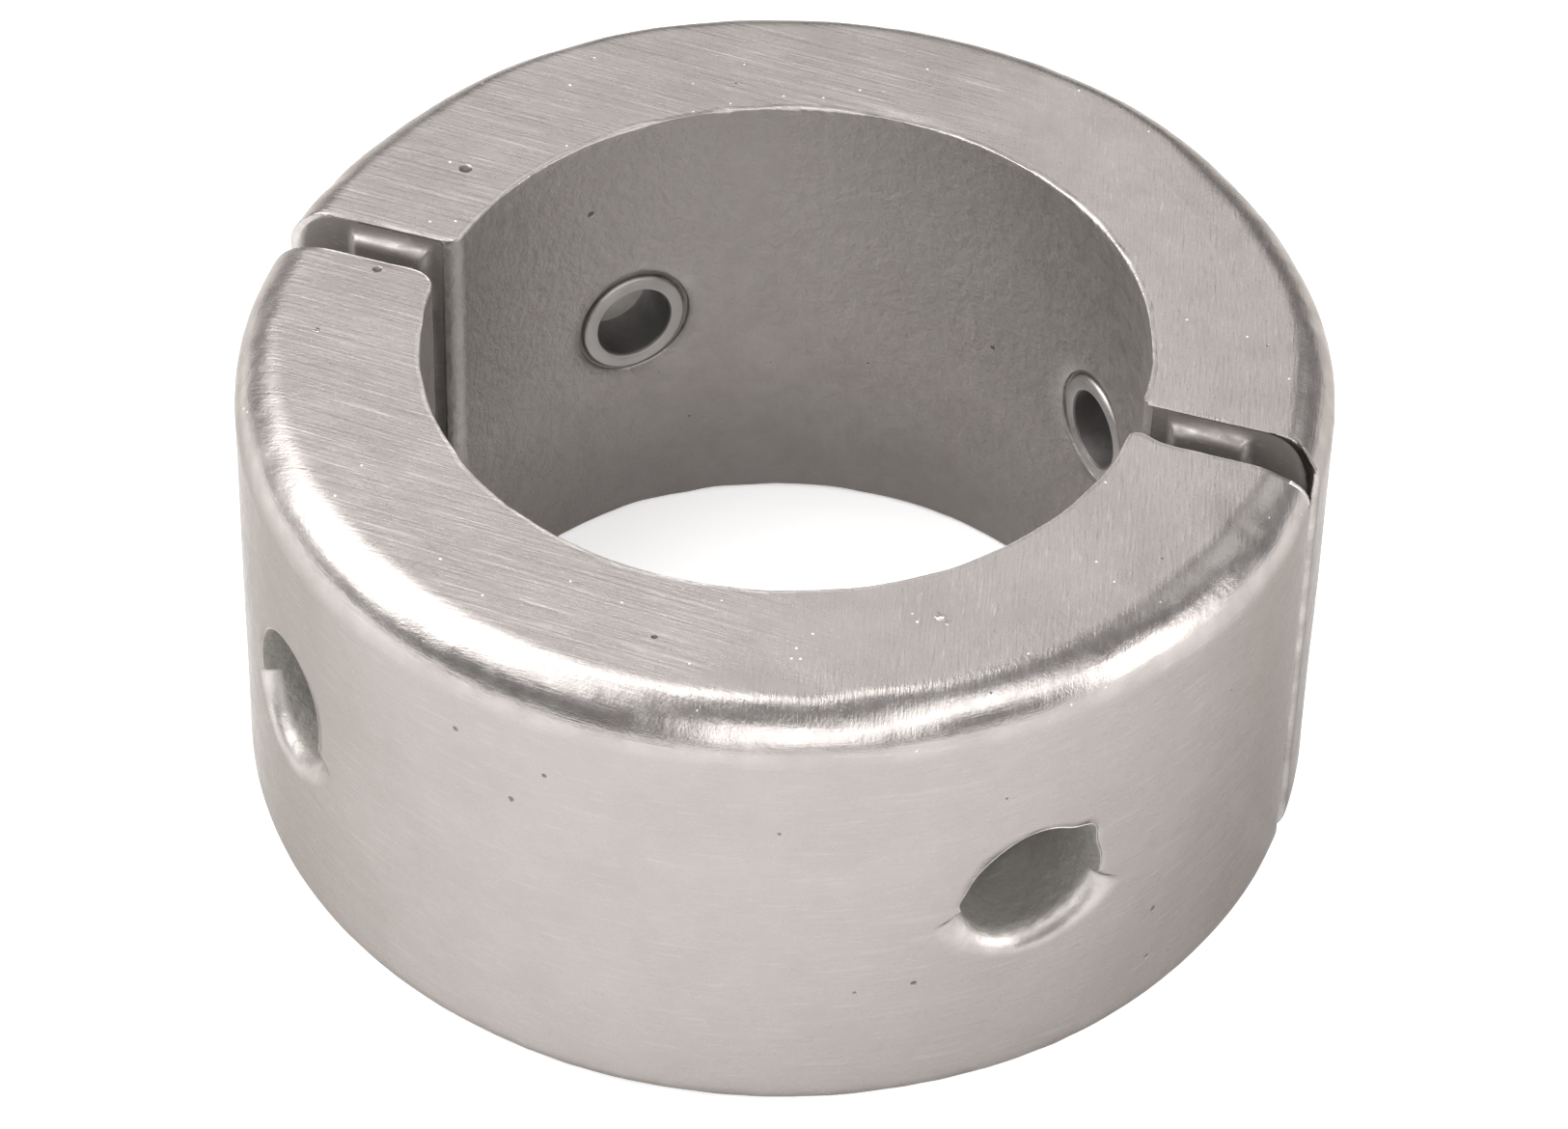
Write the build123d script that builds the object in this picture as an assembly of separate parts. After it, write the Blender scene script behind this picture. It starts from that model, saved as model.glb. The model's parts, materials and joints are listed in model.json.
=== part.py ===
from build123d import *
import os

# Two-piece cast shaft collar. Millimetres, +Z up. The shaft runs along Z through the origin, and the
# collar stands on Z = 0. The halves meet at the plane Y = 0. The rear half is on the +Y side. The
# front half is the same casting turned half a turn about Z, on the -Y side.

# The ring
outer_radius = 55.0
bore_radius = 36.0
height = 53.0
top_edge_round = 4.7
bottom_edge_round = 3.4
bore_edge_round = 0.6

# The joint between the halves
joint_setback = 1.3  # each joint face stops this far short of the plane Y = 0
bore_corner_round = 1.5
outer_corner_round = 1.5
front_half_gap = 2.1  # the front half lies this far out from where it closes on the rear half

# The raised land on each joint face, where the closed halves meet
land_inner = 39.3
land_outer = 47.3
land_clearance = 0.05  # from the land's face to the plane Y = 0
land_end_gap = 1.6  # from the land's ends to the top and bottom faces
land_edge_round = 0.5

# The screw stations, at mid-height, each pointing straight out from the shaft
station_height = height / 2
station_angles = {"right": 45.0, "left": 135.0}  # on the rear half, seen from the front half's side
ferrule_bore_radius = 4.2  # clears an M8 screw
ferrule_radius = 5.9
ferrule_length = 6.5
ferrule_chamfer = 0.5
flange_radius = 7.6  # the flange is inside the casting and holds the ferrule there
flange_thickness = 1.2
pocket_radius = 7.0  # takes the head of an M8 socket screw
lip_round = 1.4  # along the lower half of the pocket's mouth
groove_radius = 6.3  # a thin groove in the casting around the ferrule's inner end
groove_depth = 0.6

# The flat steel strap inside each half, which ties its two ferrules together
strap_inner = 38.6
strap_thickness = 1.8
strap_height = 18.0
strap_end_angle = 14.0  # from the joint plane to each end of the strap

pocket_floor = bore_radius + ferrule_length
strap_outer = strap_inner + strap_thickness
past_everything = 3 * outer_radius  # a length that reaches right through the ring


def at_station(shape, angle):
    """Lays a shape built outwards along +Z from the shaft along a screw station. Its +X turns down."""
    return Pos(0, 0, station_height) * Rot(0, 0, angle) * Rot(0, 90, 0) * shape


def disc(radius, start, end):
    """A cylinder about Z from start to end."""
    return Pos(0, 0, start) * Cylinder(radius, end - start, align=(Align.CENTER, Align.CENTER, Align.MIN))


def whole_ring():
    """The outside that the two halves share: a ring with its outer and bore edges rounded."""
    section = Pos((bore_radius + outer_radius) / 2, height / 2) * Rectangle(
        outer_radius - bore_radius, height
    )
    rounds = {
        (outer_radius, height): top_edge_round,
        (outer_radius, 0): bottom_edge_round,
        (bore_radius, height): bore_edge_round,
        (bore_radius, 0): bore_edge_round,
    }
    for corner, radius in rounds.items():
        section = fillet(section.vertices().sort_by_distance((*corner, 0))[0], radius)
    return revolve(Plane.XZ * section, axis=Axis.Z, revolution_arc=360)


def half_room():
    """A tall block over the rear half, with flat joint faces and rounded upright corners."""
    plan = Circle(outer_radius) - Circle(bore_radius)
    plan &= Pos(0, joint_setback + past_everything / 2) * Rectangle(past_everything, past_everything)
    for reach, radius in ((bore_radius, bore_corner_round), (outer_radius, outer_corner_round)):
        for side in (-1, 1):
            corner = plan.vertices().sort_by_distance((side * reach, joint_setback, 0))[0]
            plan = fillet(corner, radius)
    return extrude(plan, height)


def land(side):
    """The raised pad on one joint face, with rounded edges. It reaches back into the casting."""
    depth = 2 * joint_setback
    pad = Box(land_outer - land_inner, depth, height - 2 * land_end_gap)
    pad = fillet(pad.faces().sort_by(Axis.Y)[0].edges(), land_edge_round)
    return Pos(side * (land_inner + land_outer) / 2, land_clearance + depth / 2, height / 2) * pad


def pocket(angle):
    """The round hole for a screw's head, from the outside to the ferrule, with its lower lip rounded."""
    lip_reach = pocket_radius + lip_round
    mouth = outer_radius - lip_round
    flare = disc(lip_reach, mouth, past_everything) - Pos(0, 0, mouth) * Torus(lip_reach, lip_round)
    flare &= Pos(past_everything / 2, 0, mouth) * Box(past_everything, past_everything, past_everything)
    return at_station(flare + disc(pocket_radius, pocket_floor, past_everything), angle)


def ferrule(angle):
    """A turned steel bush. Its inner end shows in the bore, and a screw's head bears on its outer end."""
    body = disc(ferrule_radius, bore_radius, pocket_floor)
    body += disc(flange_radius, strap_outer, strap_outer + flange_thickness)
    body -= disc(ferrule_bore_radius, 0, past_everything)
    body = chamfer(body.faces().sort_by(Axis.Z)[0].edges(), ferrule_chamfer)
    return at_station(body, angle)


def ferrule_room(angle):
    """What the casting and the strap leave out for one ferrule."""
    room = disc(ferrule_radius, 0, pocket_floor)
    room += disc(flange_radius, strap_outer, strap_outer + flange_thickness)
    return at_station(room, angle)


def strap_band():
    """The strap before its holes are made: an arc of flat bar inside the rear half."""
    section = Pos(strap_inner + strap_thickness / 2, station_height) * Rectangle(
        strap_thickness, strap_height
    )
    arc = revolve(Plane.XZ * section, axis=Axis.Z, revolution_arc=180 - 2 * strap_end_angle)
    return Rot(0, 0, strap_end_angle) * arc


def strap():
    """The strap, with a hole where each ferrule passes through it."""
    band = strap_band()
    for angle in station_angles.values():
        band -= at_station(disc(ferrule_radius, 0, past_everything), angle)
    return band


def casting():
    """One half as cast: the half ring and its lands, without its pockets, ferrules and strap."""
    body = whole_ring() & half_room()
    for side in (-1, 1):
        body += land(side)
    body -= strap_band()
    for angle in station_angles.values():
        body -= pocket(angle)
        body -= ferrule_room(angle)
        body -= at_station(disc(groove_radius, 0, bore_radius + groove_depth), angle)
    return body


def rear_half():
    """Every piece of the rear half, by name, where it belongs when the collar is closed."""
    pieces = {"half_casting": casting(), "core_strap": strap()}
    for side, angle in station_angles.items():
        pieces[f"ferrule_{side}"] = ferrule(angle)
    return pieces


os.makedirs("parts", exist_ok=True)
front_place = Pos(0, -front_half_gap, 0) * Rot(0, 0, 180)
opposite = {"ferrule_left": "ferrule_right", "ferrule_right": "ferrule_left"}
for name, piece in rear_half().items():
    export_step(piece, f"parts/rear_{name}.step")
    export_step(front_place * piece, f"parts/front_{opposite.get(name, name)}.step")
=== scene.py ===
import json
import math

import bpy
import numpy as np
from mathutils import Matrix, Vector


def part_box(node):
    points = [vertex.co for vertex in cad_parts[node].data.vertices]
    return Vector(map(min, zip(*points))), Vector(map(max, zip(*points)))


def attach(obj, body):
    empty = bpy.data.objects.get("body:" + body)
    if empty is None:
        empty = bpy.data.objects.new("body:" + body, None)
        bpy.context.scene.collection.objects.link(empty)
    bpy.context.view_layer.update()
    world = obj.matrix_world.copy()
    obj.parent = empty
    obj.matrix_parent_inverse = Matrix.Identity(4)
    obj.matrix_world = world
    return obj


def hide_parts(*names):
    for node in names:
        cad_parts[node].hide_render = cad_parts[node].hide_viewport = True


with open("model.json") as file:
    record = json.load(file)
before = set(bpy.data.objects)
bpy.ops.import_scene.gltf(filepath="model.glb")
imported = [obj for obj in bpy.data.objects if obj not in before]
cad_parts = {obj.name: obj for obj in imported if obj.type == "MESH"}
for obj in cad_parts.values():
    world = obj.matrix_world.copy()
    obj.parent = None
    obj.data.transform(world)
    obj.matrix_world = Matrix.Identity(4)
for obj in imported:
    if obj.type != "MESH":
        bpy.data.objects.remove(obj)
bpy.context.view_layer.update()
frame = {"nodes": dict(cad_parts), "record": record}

# Looks of a two-piece cast collar. Lengths are in millimetres until a mesh is made. Each half is
# shaped where the rear half lies, and the front half is then turned round and moved to its place.
MM = 0.001
MOUNTS = {mount["name"]: mount for mount in frame["record"]["mounts"]}

# Sizes read from the frame. The cast skin lies just inside the CAD solid.
SKIN = 0.1
CAD_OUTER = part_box("rear_half_casting")[1].y / MM
CAD_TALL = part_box("rear_half_casting")[1].z / MM
OUTER = CAD_OUTER - SKIN
TALL = CAD_TALL - SKIN
FLOOR_GAP = 0.02
BORE_CLEAR = 0.02
BORE = MOUNTS["shaft_bore"]["dims"]["r_mm"] + BORE_CLEAR
STATION_Z = MOUNTS["screw_hole_rear_left"]["pos_m"][2] / MM
STATION_ANGLES = (45.0, 135.0)
POCKET = MOUNTS["head_pocket_rear_left"]["dims"]["r_mm"]
POCKET_MIDDLE = math.hypot(*MOUNTS["head_pocket_rear_left"]["pos_m"][:2]) / MM
POCKET_FLOOR = POCKET_MIDDLE - MOUNTS["head_pocket_rear_left"]["dims"]["length_mm"] / 2
FERRULE_BORE = MOUNTS["screw_hole_rear_left"]["dims"]["r_mm"]
# The closed halves' screw holes face each other across the shaft, so the rest is how far the front half
# lies from its closed place
FACING_HOLES = [MOUNTS[name]["pos_m"] for name in ("screw_hole_front_left", "screw_hole_rear_right")]
FRONT_PLACE = np.sum(FACING_HOLES, axis=0) / MM * (1, 1, 0)

# The half casting. Its top round is larger than the CAD's, so it lies inside it.
TOP_ROUND = 6.0
BOTTOM_ROUND = 3.4
BORE_ROUND = 0.7
CUT_DEEP = 0.28  # how deep the linished top cuts into the outer round, and how much that varies
CUT_VARIES = 0.14
CREASE_WIDE = 0.3  # how far the crease of that cut reaches down the round

BORE_VARIES = 0.25  # the bore's round varies by this share of its size, the others by mm
TOP_VARIES = (0.55, 0.12)  # slowly and quickly
BOTTOM_VARIES = 0.3
SLOW_LONG = 22  # the lengths of that slow and quick change, and of the cut's
QUICK_LONG = 5
CUT_LONG = 12

# Wear of the whole surface, as (depth, length of its waves)
SLOW_WEAR = (0.07, 14)
FINE_WEAR = (0.016, 3.5)
EDGE_WEAR = (0.035, 1.6)

# The joint faces and their raised lands
SETBACK = 1.35
LAND_INNER = 39.3
LAND_OUTER = 47.3
LAND_PROUD = 1.2
LAND_END_GAP = 1.6
LAND_SOFT = 0.45  # half the width of the land's rounded rim
LAND_WAVE = 0.3  # how far the rim wanders, over lengths of about LAND_WAVE_LONG
LAND_WAVE_LONG = 2.5
LAND_CLEAR = 1.0  # from the land to where the face's grid starts to follow the round outside
RIM_RUBBED = (4.0, 3.0)  # the land's rim is rubbed bright above these depths below the top, where the painted gap shade leaves it out
PALE_STRIP = 2.0  # beyond the land the painted gap shade fades out over this width
PALE_BELOW = (12.0, 6.0)  # and below these depths

# The screw holes
LIP_ROUND = 2.2
SHARP_ROUND = 0.22
LIP_FADE = 4.0  # degrees over which the wide lip gives way to the sharp edge
FLARE_WIDE = 28.0  # degrees over which the lip widens towards its ends
POCKET_FLOOR_ROUND = 0.4
GROOVE = 6.3
GROOVE_DEEP = 0.6
HALO_WIDE = 2.0
HALO_DEEP = 0.5
HALO_WORN = 0.6

# The ferrule
FERRULE_OUTER = 5.9
FERRULE_CHAMFER = 0.2
FERRULE_FAR_CHAMFER = 0.3
FERRULE_SOFT = 0.12
FLANGE_RADIUS = 7.6
FLANGE_START = 40.4
FLANGE_END = 41.6
CAST_FIT = 0.04

# Mesh fineness
ALONG = 240  # cells from one joint face to the other
ROUND_CELLS = 5  # cells across a rounded edge beside a joint face
WINDOW = 20  # half the cells across the square of wall that a screw hole replaces
AROUND = 8 * WINDOW  # points around a screw hole
ARC_CELLS = {"bore": 2, "outer_top": 6, "outer_bottom": 5}  # cells on half of a rounded edge
TALL_CELLS = 88
WIDE_CELLS = 34
LAND_LINES = (-0.15, 0.05, 0.45)  # grid lines beside a land's rim
CORNER_ALLOWANCE = 1.5  # how much the upright corners narrow a joint face, at each side
END_MARGIN = 0.01  # the share of the half turn that is left out at each end of the headings
WALL_RINGS = 10  # rings of points round a screw hole, on each part of it
LIP_RINGS = 9
POCKET_RINGS = 12
HALO_RINGS = 6
BORE_RINGS = 8
FERRULE_POINTS = 128

# What each vertex of a casting knows about its place; seam is how much painted shade a joint face gets
FACTS = ("edge", "flat", "inside", "bore", "crease", "seam")


def value_noise(points, cell, seed):
    """Smooth noise from -1 to 1 at points in mm, with features about cell mm across."""
    side = 32
    table = np.random.default_rng(seed).uniform(-1, 1, (side, side, side))
    place = points / cell + 500.0
    corner = np.floor(place).astype(int)
    part = place - corner
    part = part * part * (3 - 2 * part)
    total = np.zeros(len(points))
    for step in np.ndindex(2, 2, 2):
        weight = np.prod(np.where(np.array(step) == 1, part, 1 - part), axis=1)
        x, y, z = ((corner + step) % side).T
        total += weight * table[x, y, z]
    return total


def ease(x, start, end):
    """0 before start, 1 after end, smooth between."""
    t = np.clip((np.asarray(x, float) - start) / (end - start), 0, 1)
    return t * t * (3 - 2 * t)


def hump(x, middle, wide):
    """1 at the middle, falling smoothly to 0 at about twice wide away."""
    return np.exp(-(((x - middle) / wide) ** 2))


def around(heading, direction):
    """How far a heading in degrees is from a direction, from -180 to 180."""
    return (heading - direction + 180) % 360 - 180


def knots(start, end, cells, forced):
    """cells + 1 values from start to end, evenly spread between the forced ones."""
    stops = [start, *sorted(forced), end]
    gaps = np.diff(stops)
    share = np.maximum(1, np.floor(gaps / gaps.sum() * cells)).astype(int)
    while share.sum() < cells:
        share[np.argmax(gaps / share)] += 1
    while share.sum() > cells:
        share[np.argmax(share)] -= 1
    pieces = [np.linspace(a, b, n, endpoint=False) for a, b, n in zip(stops, stops[1:], share)]
    return np.append(np.concatenate(pieces), end)


# The cross-section of a half is a loop: up the bore, out across the top, down the outside and back
# under. EDGES are its four rounded corners, as (corner, the way to the arc's centre, first angle).
EDGES = (
    ((BORE, FLOOR_GAP), (1, 1), 270),
    ((BORE, TALL), (1, -1), 180),
    ((OUTER, TALL), (-1, -1), 90),
    ((OUTER, FLOOR_GAP), (-1, 1), 0),
)
NOMINAL_ROUNDS = np.array([BORE_ROUND, BORE_ROUND, TOP_ROUND, BOTTOM_ROUND])
EDGE_CELLS = (ARC_CELLS["bore"], ARC_CELLS["bore"], ARC_CELLS["outer_top"], ARC_CELLS["outer_bottom"])


def arc_points(edge, first, last, cells):
    """Loop points on a rounded edge, as (base, factor on each edge's radius, angle of the normal)."""
    corner, inwards, _ = EDGES[edge]
    points = []
    for angle in np.radians(np.linspace(first, last, cells + 1)):
        factors = np.zeros((4, 2))
        factors[edge] = np.array(inwards) + (math.cos(angle), math.sin(angle))
        points.append((np.array(corner, float), factors, angle))
    return points


def straight_points(edge_a, edge_b, places, axis):
    """Loop points on the flat between two rounded edges, at the given distances along an axis."""
    start = arc_points(edge_a, EDGES[edge_a][2] - 90, EDGES[edge_a][2] - 90, 0)[0]
    end = arc_points(edge_b, EDGES[edge_b][2], EDGES[edge_b][2], 0)[0]
    a = start[0] + np.tensordot(NOMINAL_ROUNDS, start[1], 1)
    b = end[0] + np.tensordot(NOMINAL_ROUNDS, end[1], 1)
    points = []
    for place in places:
        f = (place - a[axis]) / (b[axis] - a[axis])
        points.append((start[0] * (1 - f) + end[0] * f, start[1] * (1 - f) + end[1] * f, start[2]))
    return points


def section_loop():
    """The whole loop, split into four sides with a corner of the grid in the middle of each edge."""
    shrink = 2 * CORNER_ALLOWANCE / (OUTER - BORE)
    land = []
    for edge, sign in ((LAND_INNER, 1), (LAND_OUTER, -1)):
        for offset in LAND_LINES:
            reach = edge + sign * offset
            land.append(BORE + (reach - BORE - CORNER_ALLOWANCE) / (1 - shrink))
    ends = [LAND_END_GAP + offset for offset in LAND_LINES]
    ends += [TALL - end for end in ends]
    low, high = BORE_ROUND + FLOOR_GAP, TALL - BORE_ROUND
    inner, outer_top, outer_bottom = BORE + BORE_ROUND, OUTER - TOP_ROUND, OUTER - BOTTOM_ROUND
    bore, top, bottom = EDGE_CELLS[0], EDGE_CELLS[2], EDGE_CELLS[3]
    up = straight_points(0, 1, knots(low, high, TALL_CELLS - 2 * bore, ends), 1)
    across = straight_points(1, 2, knots(inner, outer_top, WIDE_CELLS - bore - top, land), 0)
    wall = knots(BOTTOM_ROUND + FLOOR_GAP, TALL - TOP_ROUND, TALL_CELLS - top - bottom, [])
    down = straight_points(2, 3, wall[::-1], 1)
    under = knots(inner, outer_bottom, WIDE_CELLS - bottom - bore, [])
    back = straight_points(3, 0, under[::-1], 0)
    sides = (
        arc_points(0, 225, 180, bore)[:-1] + up[:-1] + arc_points(1, 180, 135, bore)[:-1],
        arc_points(1, 135, 90, bore)[:-1] + across[:-1] + arc_points(2, 90, 45, top)[:-1],
        arc_points(2, 45, 0, top)[:-1] + down[:-1] + arc_points(3, 0, -45, bottom)[:-1],
        arc_points(3, -45, -90, bottom)[:-1] + back[:-1] + arc_points(0, 270, 225, bore)[:-1],
    )
    points = [point for side in sides for point in side]
    base, factors, angles = (np.array(column) for column in zip(*points))
    return base, factors, angles


class Shell:
    """A closed quad mesh with a few values at each vertex."""

    def __init__(self):
        self.points = []
        self.facts = []
        self.faces = []
        self.count = 0

    def add(self, points, **facts):
        """Adds points and returns their numbers."""
        points = np.asarray(points, float).reshape(-1, 3)
        table = np.zeros((len(points), len(FACTS)))
        for name, value in facts.items():
            table[:, FACTS.index(name)] = np.broadcast_to(value, len(points))
        self.points.append(points)
        self.facts.append(table)
        first, self.count = self.count, self.count + len(points)
        return np.arange(first, self.count)

    def quads(self, a, b, c, d):
        """Adds the quads whose corners are the matching entries of four number arrays."""
        self.faces.append(np.stack([np.ravel(x) for x in (a, b, c, d)], axis=1))

    def arrays(self):
        """Points, values and faces, without the points that no face uses."""
        points, facts = np.concatenate(self.points), np.concatenate(self.facts)
        faces = np.concatenate(self.faces)
        used, faces = np.unique(faces, return_inverse=True)
        return points[used], facts[used], faces.reshape(-1, 4)


def turned_to(angle, outwards, tangent, height):
    """Points from distances along a screw station's axis, across it and up."""
    c, s = math.cos(angle), math.sin(angle)
    return np.stack([outwards * c - tangent * s, outwards * s + tangent * c, height], axis=-1)


def on_wall(radius, angle, along, height):
    """Points on an upright cylinder, at arc lengths along it from a station."""
    turn = angle + along / radius
    return np.stack([radius * np.cos(turn), radius * np.sin(turn), height], axis=-1)


def corner_cut(reach, corner_in, corner_out):
    """How far a rounded upright corner, at the bore or the outside, stands back at points this far out."""
    total = 0 * reach
    for depth, radius in ((reach - BORE, corner_in), (OUTER - reach, corner_out)):
        from_middle = np.clip(radius - depth, 0, radius)
        total = total + radius - np.sqrt(radius**2 - from_middle**2)
    return total


def stations():
    """Each section as (turn round a joint face's edge, share of the way from +X to -X, on that edge)."""
    edge_turns = np.radians(np.linspace(0, 90, ROUND_CELLS, endpoint=False))
    first = [(turn, 0.0, True) for turn in edge_turns]
    between = [(math.pi / 2, share, False) for share in np.linspace(0, 1, ALONG + 1)]
    last = [(turn, 1.0, True) for turn in edge_turns[::-1]]
    return first + between + last


def shaped_section(section, heading, turn, corners, look):
    """A section's distances from the shaft and heights, and how near each point is to the top's crease."""
    corner_in, corner_out = corners
    across = (section[:, 0] - BORE) / (OUTER - BORE)
    tall = section[:, 1] / TALL
    inset = 1 - math.sin(turn)
    radius = section[:, 0] + inset * (corner_in * (1 - across) - corner_out * across)
    height = section[:, 1] + inset * look.flat_round * (1 - 2 * tall)
    height = height + look.cut(heading) * ease(section[:, 1], 0.5 * TALL, TALL)
    crease = hump(height, TALL, CREASE_WIDE) * (across > 0.5)
    return radius, np.minimum(height, TALL), crease


def on_joint_edge(reach, radius, turn, end, flat_share, look):
    """Where a section lies on the rounded edge of the joint face at one end: 0 at +X, 1 at -X."""
    cut = corner_cut(reach, *look.corners[end]) + flat_share * look.flat_round
    y = look.setback(radius, end) + cut * (1 - math.cos(turn))
    x = np.sqrt(radius**2 - y**2) * (1 if end == 0 else -1)
    return x, y


def on_sweep(radius, share, flat_share, look):
    """Where a section lies on its way round from one joint face to the other."""
    ends = []
    for end, corners in enumerate(look.corners):
        back = look.setback(radius, end) + flat_share * look.flat_round
        ends.append(np.arcsin((back + corner_cut(radius, *corners)) / radius))
    turn = ends[0] + share * (math.pi - ends[0] - ends[1])
    return radius * np.cos(turn), radius * np.sin(turn)


def half_casting_shape(look):
    """One half in the rear half's place, from its swept section, joint faces and screw holes."""
    shell = Shell()
    base, factors, normals = section_loop()
    flat_share = 1 - np.cos(normals) ** 2
    from_arc_middle = np.abs(((np.degrees(normals) + 360) % 90) - 45) / 45
    numbers = []
    for turn, share, at_end in stations():
        heading = math.pi * (END_MARGIN + (1 - 2 * END_MARGIN) * share)
        section = base + np.einsum("e,pec->pc", look.rounds(heading), factors)
        corners = look.corners[0] if share < 0.5 else look.corners[1]
        radius, height, crease = shaped_section(section, heading, turn, corners, look)
        if at_end:
            x, y = on_joint_edge(section[:, 0], radius, turn, int(share), flat_share, look)
        else:
            x, y = on_sweep(radius, share, flat_share, look)
        added = shell.add(
            np.stack([x, y, height], axis=1),
            edge=1.0 if at_end else 1 - from_arc_middle,
            flat=np.clip(np.sin(normals), 0, 1),
            bore=np.clip(-np.cos(normals), 0, 1),
            crease=crease,
        )
        numbers.append(added)
    numbers = np.array(numbers)
    keep = np.ones((len(numbers) - 1, len(base)), bool)
    for angle, mouth in zip(STATION_ANGLES, look.mouths):
        add_screw_hole(shell, numbers, keep, math.radians(angle), mouth)
    after = np.roll(numbers, -1, axis=1)
    shell.quads(*(x[keep] for x in (numbers[:-1], after[:-1], after[1:], numbers[1:])))
    add_joint_face(shell, numbers[0], 1, look)
    add_joint_face(shell, numbers[-1], -1, look)
    return shell.arrays()


def face_places(rim, reach):
    """A grid of (distance, height) places across a joint face, between the four sides of its rim."""
    across_share = ease(reach, LAND_OUTER + LAND_CLEAR, OUTER)[:, None, None]
    up_share = (np.arange(rim.shape[1]) / (rim.shape[1] - 1))[None, :, None]
    first, last = rim[:1], rim[-1:]
    low, high = rim[:, :1], rim[:, -1:]
    inner = first + (1 - up_share) * (low - first[:, :1]) + up_share * (high - first[:, -1:])
    outer = last + (1 - up_share) * (low - last[:, :1]) + up_share * (high - last[:, -1:])
    return (1 - across_share) * inner + across_share * outer


def land_share(reach, height, side, seed):
    """How far each place of a joint face stands up on its land, from 0 to 1."""
    wave_at = np.stack([side * reach, 0 * reach, height], axis=-1).reshape(-1, 3)
    wave = LAND_WAVE * value_noise(wave_at, LAND_WAVE_LONG, seed).reshape(reach.shape)
    across = np.minimum(reach - LAND_INNER + wave, LAND_OUTER - reach + wave)
    upward = np.minimum(height - LAND_END_GAP + wave, TALL - LAND_END_GAP - height + wave)
    return ease(np.minimum(across, upward), -LAND_SOFT, LAND_SOFT)


def add_joint_face(shell, loop, side, look):
    """The flat end of a half with its raised land and the painted shade of the gap. side is 1 at +X and -1
    at -X.
    """
    up, across = TALL_CELLS, WIDE_CELLS
    points = np.concatenate(shell.points)
    grid = np.zeros((across + 1, up + 1), int)
    grid[0] = loop[: up + 1]
    grid[:, up] = loop[up : up + across + 1]
    grid[across] = loop[up + across : 2 * up + across + 1][::-1]
    grid[1:, 0] = loop[2 * up + across :][::-1]
    rim = points[grid][:, :, (0, 2)]
    rim[..., 0] *= side
    places = face_places(rim, rim[:, up, 0])
    reach, height = places[..., 0], places[..., 1]
    proud = land_share(reach, height, side, look.seed + 6)
    y = look.setback(reach, 0 if side > 0 else 1) - LAND_PROUD * proud
    rubbed = 4 * proud * (1 - proud) * ease(height, *(TALL - depth for depth in RIM_RUBBED))
    # The joint face gets painted shade, as it lies in the gap between the halves. It fades out beside the
    # outside low down, and on the land's rim near the top.
    pale = ease(reach, LAND_OUTER, LAND_OUTER + PALE_STRIP)
    pale = pale * (1 - ease(height, *(TALL - depth for depth in PALE_BELOW)))
    seam = (1 - 0.9 * pale) * (1 - 0.8 * rubbed)
    inside = (slice(1, across), slice(1, up))
    shape = np.stack([side * reach, y, height], axis=-1)[inside]
    added = shell.add(shape, edge=rubbed[inside].ravel(), seam=seam[inside].ravel())
    grid[inside] = added.reshape(across - 1, up - 1)
    corners = [grid[:-1, :-1], grid[1:, :-1], grid[1:, 1:], grid[:-1, 1:]]
    shell.quads(*(corners if side > 0 else corners[::-1]))


def window_rim(numbers, keep, points, angle, side_start, rising):
    """Opens a square in the wall round a screw hole. Returns its rim, in order round the hole."""
    side = range(side_start, side_start + TALL_CELLS + 1)
    heights = points[numbers[ALONG // 2, side], 2]
    middle = side_start + int(np.argmin(np.abs(heights - STATION_Z)))
    places = points[numbers[:, middle]]
    station = int(np.argmin(np.abs(np.arctan2(places[:, 1], places[:, 0]) - angle)))
    step = 1 if rising else -1
    keep[station - WINDOW : station + WINDOW, middle - WINDOW : middle + WINDOW] = False
    travel = np.arange(2 * WINDOW)
    along = np.concatenate([travel, 0 * travel + 2 * WINDOW, 2 * WINDOW - travel, 0 * travel]) - WINDOW
    upward = np.concatenate([0 * travel, travel, 0 * travel + 2 * WINDOW, 2 * WINDOW - travel]) - WINDOW
    return numbers[station + along, middle + step * upward]


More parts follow.
